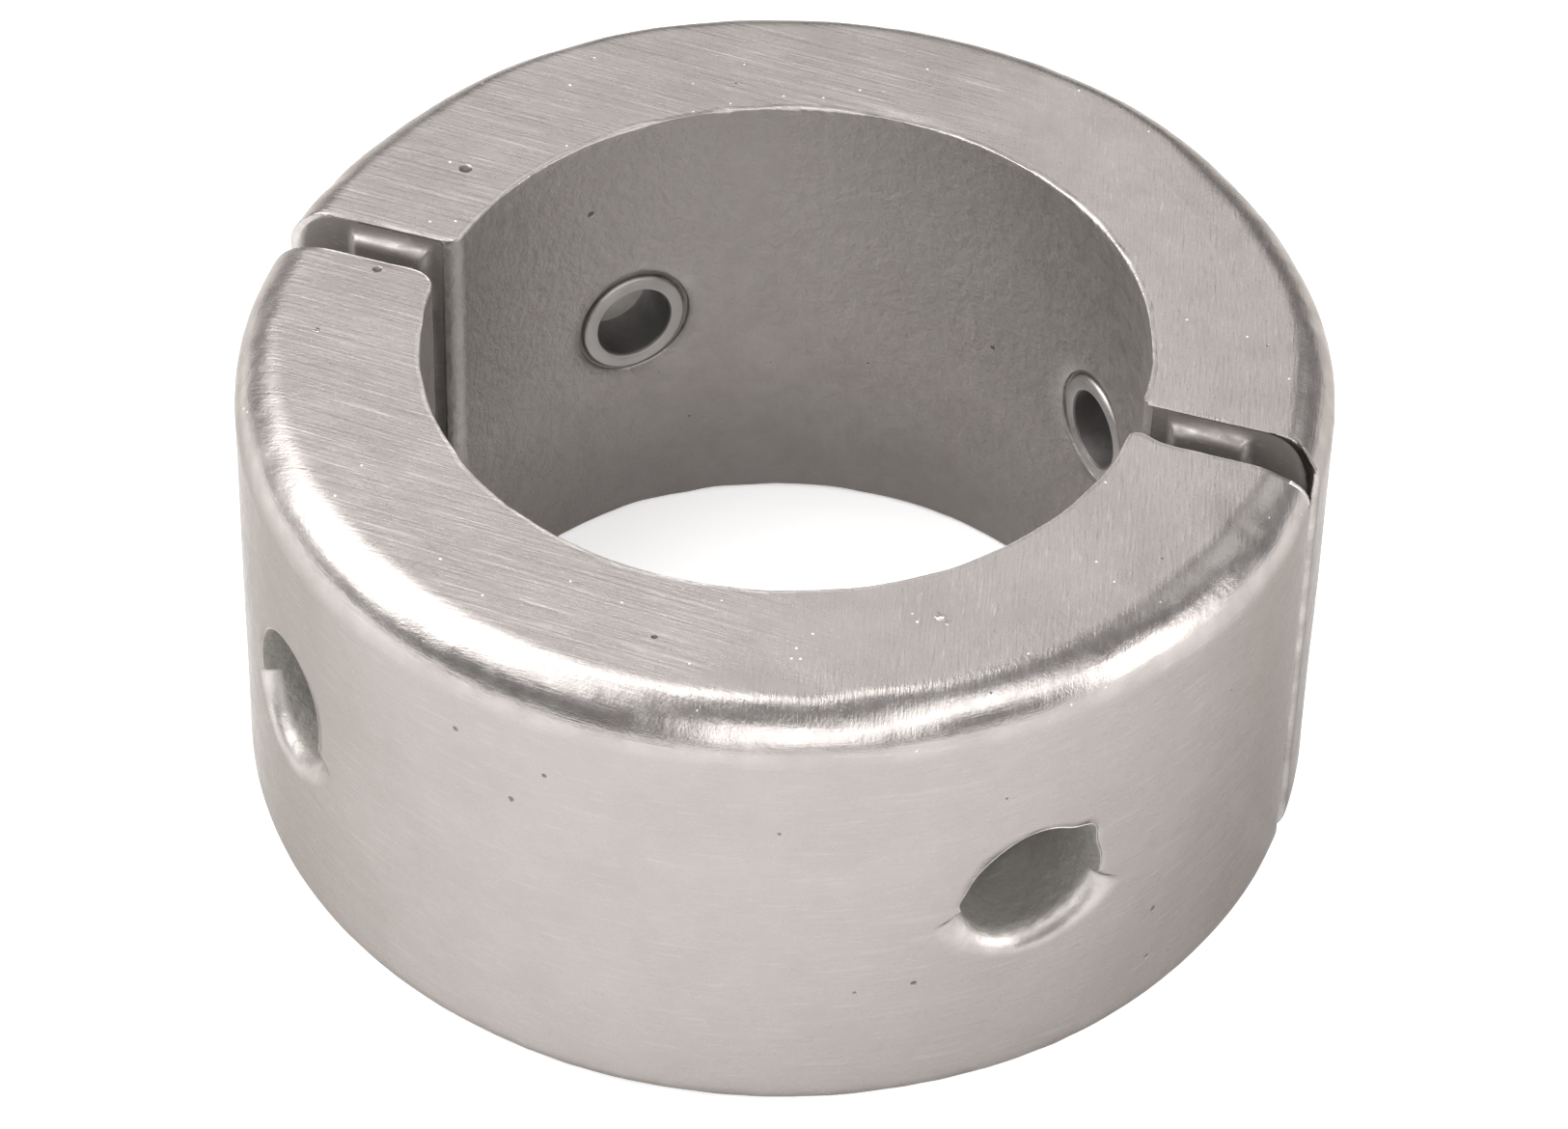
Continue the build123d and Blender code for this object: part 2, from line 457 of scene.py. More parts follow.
class ScrewHole:
    """The rings of points round one screw hole, from the outer wall in to the bore."""

    def __init__(self, angle, mouth):
        turn = -0.75 * math.pi + 2 * math.pi * np.arange(AROUND) / AROUND
        heading = np.degrees(turn)
        self.angle = angle
        self.side, self.rise = np.cos(turn), np.sin(turn)
        self.hole = POCKET + mouth.reach(heading)
        self.lip = mouth.lip(heading)
        self.rings = []

    def put(self, points, **facts):
        self.rings.append((points, facts))

    def ring(self, away, outwards):
        """A ring at a distance from the hole's axis and a distance out along it."""
        across, height = away * self.side, STATION_Z + away * self.rise
        return turned_to(self.angle, outwards + 0 * self.side, across, height)

    def wall(self, radius, away):
        """How far out an upright wall is, round the hole."""
        return np.sqrt(radius**2 - (away * self.side) ** 2)

    def patch(self, rim_points, radius, away, share):
        """A ring on a wall, some share of the way from the square rim to a circle round the hole."""
        rim_turn = np.arctan2(rim_points[:, 1], rim_points[:, 0]) - self.angle
        square = np.stack([rim_turn * radius, rim_points[:, 2]], axis=1)
        along, height = radius * np.arcsin(away * self.side / radius), STATION_Z + away * self.rise
        flat = square * (1 - share) + np.stack([along, height], axis=1) * share
        return on_wall(radius, self.angle, flat[:, 0], flat[:, 1])

    def add_mouth(self, rim_points):
        """The outer wall near the hole, and the lip."""
        for share in np.linspace(0, 1, WALL_RINGS + 1)[1:]:
            self.put(self.patch(rim_points, OUTER, self.hole + self.lip, share))
        depth = np.minimum(self.lip, LIP_ROUND)
        for bend in np.radians(np.linspace(0, 90, LIP_RINGS + 1)[1:]):
            away = self.hole + self.lip * (1 - math.sin(bend))
            outwards = self.wall(OUTER, away) - depth * (1 - math.cos(bend))
            self.put(self.ring(away, outwards), edge=math.sin(2 * bend), inside=math.sin(bend) ** 6)

    def add_pocket(self):
        """The pocket's wall, from the uneven mouth to the round bottom."""
        start = self.wall(OUTER, self.hole) - np.minimum(self.lip, LIP_ROUND)
        end = POCKET_FLOOR + POCKET_FLOOR_ROUND
        for share in np.linspace(0, 1, POCKET_RINGS + 1)[1:]:
            away = POCKET + (self.hole - POCKET) * (1 - share) ** 2
            self.put(self.ring(away, start * (1 - share) + end * share), inside=1)
        for bend in np.radians((45, 90)):
            away = POCKET - POCKET_FLOOR_ROUND * (1 - math.cos(bend))
            outwards = POCKET_FLOOR + POCKET_FLOOR_ROUND * (1 - math.sin(bend))
            self.put(self.ring(away, outwards), inside=1)

    def add_seat(self):
        """The ferrule's seat with room for its flange, and the groove round its end."""
        seat, flange = FERRULE_OUTER + CAST_FIT, FLANGE_RADIUS + CAST_FIT
        steps = (
            (seat, POCKET_FLOOR),
            (seat, FLANGE_END + CAST_FIT),
            (flange, FLANGE_END + CAST_FIT),
            (flange, FLANGE_START - CAST_FIT),
            (seat, FLANGE_START - CAST_FIT),
            (seat, BORE + GROOVE_DEEP),
            (GROOVE, BORE + GROOVE_DEEP),
        )
        for away, outwards in steps:
            self.put(self.ring(away, outwards), inside=1)

    def add_halo(self, rim_points):
        """The sunk ring round the ferrule's end, and the bore near it."""
        for bend in np.radians(np.linspace(90, 0, HALO_RINGS + 1)):
            away = GROOVE + HALO_WIDE * (1 - math.sin(bend))
            outwards = self.wall(BORE, away) + HALO_DEEP * (1 - math.cos(bend))
            self.put(self.ring(away, outwards), bore=1, edge=HALO_WORN * math.sin(bend))
        for share in np.linspace(1, 0, BORE_RINGS + 1)[1:-1]:
            self.put(self.patch(rim_points, BORE, GROOVE + HALO_WIDE, share), bore=1)


def add_screw_hole(shell, numbers, keep, angle, mouth):
    """A screw's pocket, the ferrule's seat and the sunk ring round its end, between the two walls."""
    points = np.concatenate(shell.points)
    outer_rim = window_rim(numbers, keep, points, angle, TALL_CELLS + WIDE_CELLS, False)
    bore_rim = window_rim(numbers, keep, points, angle, 0, True)
    hole = ScrewHole(angle, mouth)
    hole.add_mouth(points[outer_rim])
    hole.add_pocket()
    hole.add_seat()
    hole.add_halo(points[bore_rim])
    before = outer_rim
    for ring_points, facts in hole.rings:
        after = shell.add(ring_points, **facts)
        shell.quads(before, np.roll(before, -1), np.roll(after, -1), after)
        before = after
    shell.quads(before, np.roll(before, -1), np.roll(bore_rim, -1), bore_rim)


def vertex_normals(points, faces):
    """Unit normals at the vertices of a quad mesh."""
    across = points[faces[:, 2]] - points[faces[:, 0]]
    over = points[faces[:, 3]] - points[faces[:, 1]]
    face_normals = np.cross(across, over)
    normals = np.zeros_like(points)
    for corner in range(4):
        np.add.at(normals, faces[:, corner], face_normals)
    return normals / np.maximum(np.linalg.norm(normals, axis=1), 1e-9)[:, None]


class Mouth:
    """The uneven mouth of one pocket. Directions are in degrees from level, seen from outside."""

    def __init__(self, corners, lip_from, lip_to, flare):
        self.corners = corners
        self.lip_from = lip_from
        self.lip_to = lip_to
        self.flare = flare

    def reach(self, heading):
        """How much further out than the round hole the mouth's sharp edge is, in mm."""
        total = 0 * heading
        for direction, wide, far in self.corners:
            total = total + far * hump(around(heading, direction), 0, wide)
        return total

    def lip(self, heading):
        """The lip's width: rounded along the bottom and wider at its two ends, sharp elsewhere."""
        middle, half = (self.lip_from + self.lip_to) / 2, (self.lip_to - self.lip_from) / 2
        away = np.abs(around(heading, middle))
        soft = 1 - ease(away, half - LIP_FADE, half + LIP_FADE)
        wide = LIP_ROUND + self.flare * hump(away, half, FLARE_WIDE)
        return SHARP_ROUND + (wide - SHARP_ROUND) * soft


class Look:
    """What makes one half differ from the other: its hand-dressed edges and its knocks."""

    def __init__(self, seed, corners, flat_round, flash, mouths, dings):
        """corners holds the radii of the upright corners, at the bore and outside, at +X and then -X.
        A flash is (end, distance from the shaft, width, height). A ding is (place, its size each way,
        its depth). Lengths are in mm, on the rear half's shape."""
        self.seed = seed
        self.corners = corners
        self.flat_round = flat_round
        self.flash = flash
        self.mouths = mouths
        self.dings = dings

    def setback(self, reach, end):
        """How far a joint face is from where it closes. Casting flash stands up at some corners."""
        total = SETBACK
        for at_end, middle, wide, proud in self.flash:
            if at_end == end:
                total = total - proud * hump(reach, middle, wide)
        return total

    def cut(self, heading):
        """How deep the linished top cuts into the cast round of the outer edge."""
        place = np.array([[heading * OUTER, 9, 0]])
        return CUT_DEEP + CUT_VARIES * value_noise(place, CUT_LONG, self.seed + 5)[0]

    def rounds(self, heading):
        """The four edges' radii at an angle round the half, in the order of EDGES."""
        place = np.array([[heading * OUTER, 0, 0]])
        slow = value_noise(place, SLOW_LONG, self.seed)[0]
        quick = value_noise(place, QUICK_LONG, self.seed + 1)[0]
        bore = BORE_ROUND * (1 + BORE_VARIES * quick)
        top = TOP_ROUND + TOP_VARIES[0] * slow + TOP_VARIES[1] * quick
        return np.array([bore, bore, top, BOTTOM_ROUND + BOTTOM_VARIES * slow])


def worn_back(points, share, wear, seed):
    """How far a kind of wear takes each point back, from 0 to twice its depth."""
    deep, length = wear
    return share * deep * (1 + value_noise(points, length, seed))


def weather(points, facts, faces, look):
    """Makes the smooth shape look cast and dressed by hand: slow waves, worn edges and knocks."""
    normals = vertex_normals(points, faces)
    edge, inside = facts[:, FACTS.index("edge")], facts[:, FACTS.index("inside")]
    open_air = 1 - inside
    depth = worn_back(points, 1.0, SLOW_WEAR, look.seed + 2)
    depth += worn_back(points, 1.0, FINE_WEAR, look.seed + 3)
    depth += worn_back(points, edge, EDGE_WEAR, look.seed + 4)
    for place, size, deep in look.dings:
        away = np.linalg.norm((points - np.array(place)) / np.array(size), axis=1)
        depth += deep * np.exp(-(away**2) * 2)
    return points - normals * (depth * open_air)[:, None]


def mesh_object(name, points, faces, facts=None):
    """A smooth-shaded object from points in mm, with the values at its vertices as attributes."""
    mesh = bpy.data.meshes.new(name)
    mesh.from_pydata((points * MM).tolist(), [], faces.tolist())
    mesh.shade_smooth()
    wrap = mesh.attributes.new("wrap", "FLOAT_VECTOR", "POINT")
    turn = np.arctan2(points[:, 1], points[:, 0]) % (2 * math.pi)
    distance = np.hypot(points[:, 0], points[:, 1])
    wrap.data.foreach_set("vector", np.stack([turn * OUTER, distance, points[:, 2]], axis=1).ravel())
    if facts is not None:
        for index, fact in enumerate(FACTS):
            attribute = mesh.attributes.new(fact, "FLOAT", "POINT")
            attribute.data.foreach_set("value", np.ascontiguousarray(facts[:, index]))
    thing = bpy.data.objects.new(name, mesh)
    bpy.context.scene.collection.objects.link(thing)
    return thing


def make_half(name, look, front):
    """The visible casting of one half."""
    points, facts, faces = half_casting_shape(look)
    points = weather(points, facts, faces, look)
    if front:
        points = points * (-1, -1, 1) + FRONT_PLACE
    return mesh_object(name, points, faces, facts)


def ferrule_outline():
    """The ferrule's section as (distance out from the shaft, distance from its own axis) points."""
    inner_end, outer_end = BORE - BORE_CLEAR, POCKET_FLOOR
    c, far = FERRULE_CHAMFER, FERRULE_FAR_CHAMFER
    corners = [
        (inner_end + c, FERRULE_BORE),
        (inner_end, FERRULE_BORE + c),
        (inner_end, FERRULE_OUTER - c),
        (inner_end + c, FERRULE_OUTER),
        (FLANGE_START, FERRULE_OUTER),
        (FLANGE_START, FLANGE_RADIUS),
        (FLANGE_END, FLANGE_RADIUS),
        (FLANGE_END, FERRULE_OUTER),
        (outer_end, FERRULE_OUTER),
        (outer_end, FERRULE_BORE + far),
        (outer_end - far, FERRULE_BORE),
    ]
    corners = np.array(corners)
    outline = []
    for before, here, after in zip(np.roll(corners, 1, 0), corners, np.roll(corners, -1, 0)):
        back = (before - here) / np.linalg.norm(before - here)
        ahead = (after - here) / np.linalg.norm(after - here)
        start, end = here + back * FERRULE_SOFT, here + ahead * FERRULE_SOFT
        for t in (0, 0.5, 1):
            outline.append((1 - t) ** 2 * start + 2 * t * (1 - t) * here + t**2 * end)
    return np.array(outline)


def make_ferrule(name, angle, front):
    """A turned bush, swept round its own axis."""
    outline = ferrule_outline()
    turns = np.linspace(0, 2 * math.pi, FERRULE_POINTS, endpoint=False)
    out, away = outline[:, 0][:, None], outline[:, 1][:, None]
    points = turned_to(
        math.radians(angle),
        out + 0 * turns,
        away * np.cos(turns),
        STATION_Z + away * np.sin(turns),
    )
    if front:
        points = points * (-1, -1, 1) + FRONT_PLACE
    numbers = np.arange(outline.shape[0] * len(turns)).reshape(len(outline), len(turns))
    after, beside = np.roll(numbers, -1, axis=0), np.roll(numbers, -1, axis=1)
    both = np.roll(after, -1, axis=1)
    faces = np.stack([numbers.ravel(), beside.ravel(), both.ravel(), after.ravel()], axis=1)
    thing = mesh_object(name, points.reshape(-1, 3), faces)
    axis_place = thing.data.attributes.new("across", "FLOAT", "POINT")
    axis_place.data.foreach_set("value", np.repeat(outline[:, 1], len(turns)))
    return thing


# Materials


class Nodes:
    """A short way to write a material's nodes."""

    def __init__(self, name):
        self.material = bpy.data.materials.new(name)
        self.material.use_nodes = True
        self.tree = self.material.node_tree
        self.shader = self.tree.nodes["Principled BSDF"]

    def put(self, kind, inputs=None, **settings):
        """Adds a node, sets its fields and inputs, and returns it. An input is a value or a socket."""
        node = self.tree.nodes.new("ShaderNode" + kind)
        for key, value in settings.items():
            setattr(node, key, value)
        for key, value in (inputs or {}).items():
            self.join(node.inputs[key], value)
        return node

    def join(self, socket, value):
        """Links a socket to an input, or sets the input's value."""
        if isinstance(value, bpy.types.NodeSocket):
            self.tree.links.new(value, socket)
        else:
            socket.default_value = value

    def math(self, operation, a, b=0.0, c=0.0):
        return self.put("Math", {0: a, 1: b, 2: c}, operation=operation).outputs[0]

    def attribute(self, name, output="Fac"):
        return self.put("Attribute", attribute_name=name).outputs[output]

    def stretched(self, vector, factors, turn=0.0):
        """A vector turned about its third axis and scaled."""
        turned = self.put("VectorRotate", {"Vector": vector, "Angle": turn}, rotation_type="Z_AXIS")
        return self.put("VectorMath", {0: turned.outputs[0], 1: factors}, operation="MULTIPLY").outputs[0]

    def noise(self, vector, scale=1.0, detail=3.0, roughness=0.55):
        inputs = {"Vector": vector, "Scale": scale, "Detail": detail, "Roughness": roughness}
        return self.put("TexNoise", inputs).outputs["Fac"]

    def remap(self, value, low, high, to_low=0.0, to_high=1.0):
        inputs = {"Value": value, "From Min": low, "From Max": high, "To Min": to_low, "To Max": to_high}
        return self.put("MapRange", inputs, interpolation_type="SMOOTHSTEP").outputs[0]

    def axis(self, vector, name):
        """One of a vector's three numbers."""
        return self.put("SeparateXYZ", {0: vector}).outputs[name]

    def blend(self, share, a, b):
        """A number between two numbers."""
        return self.put("Mix", {0: share, 2: a, 3: b}, data_type="FLOAT").outputs[0]

    def mix(self, share, a, b):
        """A colour between two colours."""
        node = self.put("Mix", data_type="RGBA")
        for socket, value in ((node.inputs[0], share), (node.inputs[6], a), (node.inputs[7], b)):
            self.join(socket, value)
        return node.outputs[2]

    def bump(self, height, distance, normal=None):
        """A bump of a height given from 0 to 1, as deep as distance in mm."""
        inputs = {"Height": height, "Distance": distance * MM, "Strength": 1.0}
        if normal is not None:
            inputs["Normal"] = normal
        return self.put("Bump", inputs).outputs[0]


def millimetres(nodes):
    """The place on the object, in mm."""
    place = nodes.put("TexCoord").outputs["Object"]
    return nodes.put("VectorMath", {0: place, 1: (1000, 1000, 1000)}, operation="MULTIPLY").outputs[0]


def spots(nodes, place, spacing, size, share):
    """Small round spots: 1 in the middle of a spot, 0 elsewhere. share of the cells have one."""
    cells = nodes.put("TexVoronoi", {"Vector": place, "Scale": 1 / spacing, "Randomness": 1.0})
    near = nodes.remap(cells.outputs["Distance"], size / spacing, 0.4 * size / spacing)
    chance = nodes.put("SeparateColor", {"Color": cells.outputs["Color"]}).outputs[0]
    return nodes.math("MULTIPLY", near, nodes.math("LESS_THAN", chance, share))


def marks(nodes, place, spots_at):
    """Single round marks: 1 at each (place, radius) in mm, 0 elsewhere."""
    total = 0.0
    for middle, radius in spots_at:
        away = nodes.put("VectorMath", {0: place, 1: middle}, operation="DISTANCE").outputs["Value"]
        total = nodes.math("MAXIMUM", nodes.remap(away, radius, 0.4 * radius), total)
    return total


# The larger casting pits, placed from the photograph with its fitted camera, as (place, radius) in mm
PITS = (
    ((-39.7, 13.3, 52.9), 0.75),
    ((44.2, -28.4, 52.9), 0.5),
    ((2.1, -46.6, 52.9), 0.35),
    ((-9.0, -56.4, 36.5), 0.45),
    ((-15.1, -55.0, 42.6), 0.4),
    ((-5.4, -56.8, 41.2), 0.35),
    ((13.3, -55.5, 49.6), 0.35),
    ((17.4, -54.3, 38.7), 0.3),
    ((53.7, -14.0, 29.2), 0.35),
    ((48.3, -28.3, 14.4), 0.4),
    ((48.2, -28.7, 7.9), 0.4),
    ((29.7, -48.4, 16.8), 0.45),
    ((24.6, -51.3, 16.5), 0.35),
    ((-28.9, 21.5, 43.4), 0.5),
    ((11.8, 34.0, 26.9), 0.35),
)

# Bright chips on the front half's top, and a nick, placed in the same way
CHIPS = (
    ((26.7, -34.7, 52.9), 0.7),
    ((27.6, -35.4, 52.9), 0.35),
    ((-44.5, -15.9, 52.9), 0.4),
    ((-41.2, -20.4, 52.9), 0.3),
)
NICK = ((-42.3, -4.9, 52.9), 0.55)


# The cast metal's colours
CAST = (0.290, 0.265, 0.252, 1)
CAST_PALE = (0.319, 0.294, 0.281, 1)
# CAST_DARK darkens the grain and the streaks, and is also the painted shade on the upright outside wall
CAST_DARK = (0.218, 0.202, 0.193, 1)
BORE_TINT = (0.25, 0.235, 0.22, 1)
# Painted light higher up the bore and painted shade towards its bottom
BORE_PAINTED_LIGHT = (0.42, 0.395, 0.38, 1)
BORE_PAINTED_SHADE = (0.10, 0.09, 0.085, 1)
# Painted shade in the pockets
POCKET_SHADE = (0.218, 0.206, 0.185, 1)
# Painted shade on the joint faces, in the gap between the halves
GAP_SHADE = (0.109, 0.097, 0.088, 1)
STREAK_LIGHT = (0.487, 0.462, 0.445, 1)
WORN_LIGHT = (0.50, 0.475, 0.455, 1)
PIT_DARK = (0.076, 0.067, 0.063, 1)
FLECK_WHITE = (0.95, 0.94, 0.92, 1)
GLANCING = (0.504, 0.487, 0.470, 1)  # the tint of what it reflects at a glancing angle


def linished(n, place):
    """The streaks that a belt left across the top, which turn another way on the right."""
    left = n.noise(n.stretched(place, (0.07, 2.6, 1.0), math.radians(3)), 1.0, 5.0, 0.7)
    right = n.noise(n.stretched(place, (0.35, 3.4, 1.0), math.radians(-104)), 1.0, 3.0, 0.6)
    fainter = n.math("MULTIPLY_ADD", right, 0.65, 0.175)
    wander = n.math("MULTIPLY", n.noise(place, 0.04, 2.0), 30.0)
    on_right = n.remap(n.math("ADD", n.axis(place, "X"), wander), 15.0, 40.0)
    return n.blend(on_right, left, fainter)


class CastSurface:
    """The patterns that the cast metal's colour, roughness and relief share."""

    def __init__(self, n):
        place, wrap = millimetres(n), n.attribute("wrap", "Vector")
        facts = (n.attribute(fact) for fact in FACTS)
        self.place = place
        self.edge, self.flat, self.inside, self.bore, self.crease, self.seam = facts
        self.grain = n.noise(place, 3.2, 4.0, 0.7)
        self.nibble = n.noise(n.stretched(wrap, (2.4, 0.5, 0.5)), 1.0, 4.0, 0.7)
        brushed = n.noise(n.stretched(wrap, (0.16, 1.0, 2.6)), 1.0, 4.0, 0.65)
        self.streak = n.blend(self.flat, brushed, linished(n, place))
        small_pits = n.math("MAXIMUM", spots(n, place, 9.0, 0.25, 0.20), spots(n, place, 2.6, 0.14, 0.08))
        self.pit = n.math("MAXIMUM", small_pits, marks(n, place, (*PITS, NICK)))
        ragged = n.remap(n.noise(place, 1.6, 4.0, 0.7), 0.46, 0.56)
        self.chip = n.math("MULTIPLY", marks(n, place, CHIPS), ragged)


def cast_colour(n, surface):
    """The cast metal's colour: each layer covers some share of those before it. Four layers are painted
    shade and one is painted light.
    """
    place, flat, bore, streak = surface.place, surface.flat, surface.bore, surface.streak
    mottle = n.noise(place, 0.11, 5.0, 0.62)
    # The upright outside wall is painted darker, as painted shade
    upright = n.math("MULTIPLY", n.math("SUBTRACT", 1.0, flat), n.math("SUBTRACT", 1.0, bore))
    height = n.axis(place, "Z")
    # How much painted light the bore gets higher up, and painted shade towards its bottom
    high = n.remap(height, 14.0, 40.0, 0, 0.4)
    low = n.remap(height, 22.0, 4.0, 0, 0.4)
    light = n.math("MULTIPLY", n.remap(streak, 0.54, 0.70, 0, 0.5), n.math("ADD", 0.2, flat))
    dark = n.math("MULTIPLY", n.remap(streak, 0.46, 0.32, 0, 0.5), n.math("ADD", 0.3, flat))
    worn = n.math("MULTIPLY", surface.edge, n.remap(n.noise(place, 0.22, 3.0), 0.32, 0.72))
    on_top = n.math("MAXIMUM", flat, surface.crease)
    flecks = n.math("MULTIPLY", spots(n, place, 0.8, 0.17, 0.03), on_top)
    layers = (
        (n.remap(surface.grain, 0.35, 0.65, 0, 0.12), CAST_DARK),
        (n.math("MULTIPLY", bore, 0.25), BORE_TINT),
        # painted shade on the upright outside wall
        (n.math("MULTIPLY", upright, 0.6), CAST_DARK),
        # painted light high in the bore and painted shade low in it
        (n.math("MULTIPLY", bore, high), BORE_PAINTED_LIGHT),
        (n.math("MULTIPLY", bore, low), BORE_PAINTED_SHADE),
        # painted shade in the pockets
        (n.math("MULTIPLY", surface.inside, 0.85), POCKET_SHADE),
        # painted shade on the joint faces, in the gap between the halves
        (n.math("MULTIPLY", surface.seam, 0.9), GAP_SHADE),
        (light, STREAK_LIGHT),
        (dark, CAST_DARK),
        (n.math("MULTIPLY", worn, 0.4), WORN_LIGHT),
        (n.math("MULTIPLY", surface.pit, 0.75), PIT_DARK),
        (n.math("MAXIMUM", flecks, surface.chip), FLECK_WHITE),
    )
    colour = n.mix(n.remap(mottle, 0.35, 0.65), CAST, CAST_PALE)
    for share, cover in layers:
        colour = n.mix(share, colour, cover)
    return colour


def cast_roughness(n, surface):
    """Rougher in the streaks, the bore, the holes and the pits."""
    flat, streak = surface.flat, surface.streak
    rough = n.remap(n.noise(surface.place, 0.5, 3.0), 0.3, 0.7, 0.26, 0.32)
    rough = n.math("ADD", rough, n.math("MULTIPLY", n.math("SUBTRACT", streak, 0.5), 0.2))
    sheltered = n.math("MAXIMUM", surface.bore, n.math("MAXIMUM", surface.inside, surface.seam))
    rough = n.math("ADD", rough, n.math("MULTIPLY", sheltered, 0.25))
    rough = n.math("ADD", rough, n.math("MULTIPLY", surface.pit, 0.3))
    # The outer edge is rubbed smoother than the faces beside it
    rounded = n.math("MULTIPLY", flat, n.math("SUBTRACT", 1.0, flat))
    return n.math("SUBTRACT", rough, n.math("MULTIPLY", rounded, 0.28))


def cast_relief(n, surface):
    """Fine bumps, from the slowest waves to the pits and chips."""
    place, flat = surface.place, surface.flat
    pebble = n.math("MULTIPLY", n.noise(place, 0.8, 3.0), n.math("MAXIMUM", surface.bore, surface.inside))
    bumps = (
        (n.noise(place, 0.35, 3.0), 0.06),
        (pebble, 0.2),
        (surface.grain, 0.02),
        (n.math("MULTIPLY", surface.streak, n.math("ADD", 0.35, flat)), 0.05),
        (n.math("MULTIPLY", surface.crease, surface.nibble), 0.05),
        (n.math("SUBTRACT", surface.chip, surface.pit), 0.25),
    )
    normal = None
    for height, deep in bumps:
        normal = n.bump(height, deep, normal=normal)
    return normal


def cast_metal():
    """Pale cast metal: satin, linished across the top, brushed round the outside, dull in the holes; its
    colour carries painted shade and painted light.
    """
    n = Nodes("cast_metal")
    surface = CastSurface(n)
    n.join(n.shader.inputs["Base Color"], cast_colour(n, surface))
    # The pockets and the joint faces with their painted shade are also dull
    dull_holes = n.math("MULTIPLY", surface.inside, 0.75)
    dull = n.math("MAXIMUM", dull_holes, n.math("MULTIPLY", surface.seam, 0.9))
    n.join(n.shader.inputs["Metallic"], n.math("SUBTRACT", 1.0, dull))
    n.shader.inputs["Specular Tint"].default_value = GLANCING
    n.join(n.shader.inputs["Roughness"], cast_roughness(n, surface))
    n.join(n.shader.inputs["Normal"], cast_relief(n, surface))
    return n.material


def turned_steel():
    """The ferrules: plain steel with the fine rings that a lathe leaves."""
    n = Nodes("turned_steel")
    place = millimetres(n)
    across = n.attribute("across")
    lathe = n.put("TexNoise", {"W": n.math("MULTIPLY", across, 7.0), "Detail": 3.0}, noise_dimensions="1D")
    wear = n.noise(place, 0.9, 4.0, 0.6)
    hole = n.remap(across, FERRULE_BORE + 0.25, FERRULE_BORE + 0.1)
    colour = n.mix(wear, (0.33, 0.31, 0.30, 1), (0.43, 0.41, 0.395, 1))
    n.join(n.shader.inputs["Base Color"], n.mix(hole, colour, (0.17, 0.16, 0.155, 1)))
    n.shader.inputs["Metallic"].default_value = 1.0
    rough = n.math("ADD", n.remap(wear, 0.3, 0.7, 0.36, 0.48), n.math("MULTIPLY", hole, 0.2))
    n.join(n.shader.inputs["Roughness"], rough)
    normal = n.bump(lathe.outputs["Fac"], 0.03)
    n.join(n.shader.inputs["Normal"], n.bump(n.noise(place, 4.0, 4.0), 0.02, normal=normal))
    return n.material


def flat_bar_steel():
    """The straps inside the castings: rolled bar with mill scale."""
    n = Nodes("flat_bar_steel")
    place = millimetres(n)
    scale = n.noise(place, 0.4, 5.0, 0.65)
    n.join(n.shader.inputs["Base Color"], n.mix(scale, (0.16, 0.155, 0.15, 1), (0.34, 0.33, 0.32, 1)))
    n.shader.inputs["Metallic"].default_value = 1.0
    n.join(n.shader.inputs["Roughness"], n.remap(scale, 0.3, 0.7, 0.38, 0.6))
    n.join(n.shader.inputs["Normal"], n.bump(n.noise(place, 2.0, 4.0), 0.04))
    return n.material


def pale_floor():
    """A plain, nearly white floor."""
    n = Nodes("pale_floor")
    n.shader.inputs["Base Color"].default_value = (0.92, 0.92, 0.92, 1)
    n.shader.inputs["Roughness"].default_value = 0.8
    n.shader.inputs["Specular IOR Level"].default_value = 0.0
    n.shader.inputs["Emission Color"].default_value = (1, 1, 1, 1)
    n.shader.inputs["Emission Strength"].default_value = 0.42
    return n.material


# The two halves. The front half's shape is turned round, so its +X end lies on the camera's left.
REAR = Look(
    seed=11,
    corners=((1.2, 1.3), (1.6, 0.9)),
    flat_round=0.45,
    flash=((0, OUTER, 2.2, 1.2),),
    mouths=(
        Mouth(((165, 16, 0.9), (35, 14, 0.8), (120, 25, -0.3)), 190, 345, 0.9),
        Mouth(((12, 16, 1.0), (140, 14, 0.7), (60, 25, -0.3)), 195, 350, 1.0),
    ),
    dings=(
        ((-51.0, 9.0, 50.5), (3.0, 2.0, 2.0), 0.35),
        ((0.0, 36.5, 52.5), (6.0, 1.0, 1.0), 0.25),
    ),
)
FRONT = Look(
    seed=37,
    corners=((3.2, 2.0), (1.2, 0.4)),
    flat_round=0.5,
    flash=((1, BORE + 1.0, 1.8, 0.9), (1, OUTER, 2.2, 1.2)),
    mouths=(
        Mouth(((62, 45, 1.6), (150, 30, -0.3)), 200, 345, 0.8),
        Mouth(((182, 9, 0.5), (345, 38, 1.2), (34, 12, 1.2), (128, 35, -0.55)), 192, 340, 1.6),
    ),
    dings=(
        ((50.5, 10.0, 51.0), (1.6, 4.0, 2.0), 0.5),
        ((-50.0, 9.0, 51.5), (3.5, 3.0, 2.5), 0.6),
        ((-20.0, 46.0, 52.0), (8.0, 3.0, 2.0), 0.35),
    ),
)

metal, steel, bar = cast_metal(), turned_steel(), flat_bar_steel()
for half, look, front in (("rear", REAR, False), ("front", FRONT, True)):
    casting = make_half(f"{half}_casting_skin", look, front)
    casting.data.materials.append(metal)
    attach(casting, f"{half}_half")
    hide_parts(f"{half}_half_casting")
    for angle in STATION_ANGLES:
        side = "right" if (angle < 90) != front else "left"
        bush = make_ferrule(f"{half}_ferrule_{side}_turned", angle, front)
        bush.data.materials.append(steel)
        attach(bush, f"{half}_half")
        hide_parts(f"{half}_ferrule_{side}")
    strap = frame["nodes"][f"{half}_core_strap"]
    strap.data.materials.clear()
    strap.data.materials.append(bar)

# The floor
bpy.ops.mesh.primitive_plane_add(size=6)
floor = bpy.context.object
floor.name = "floor"
floor.data.materials.append(pale_floor())

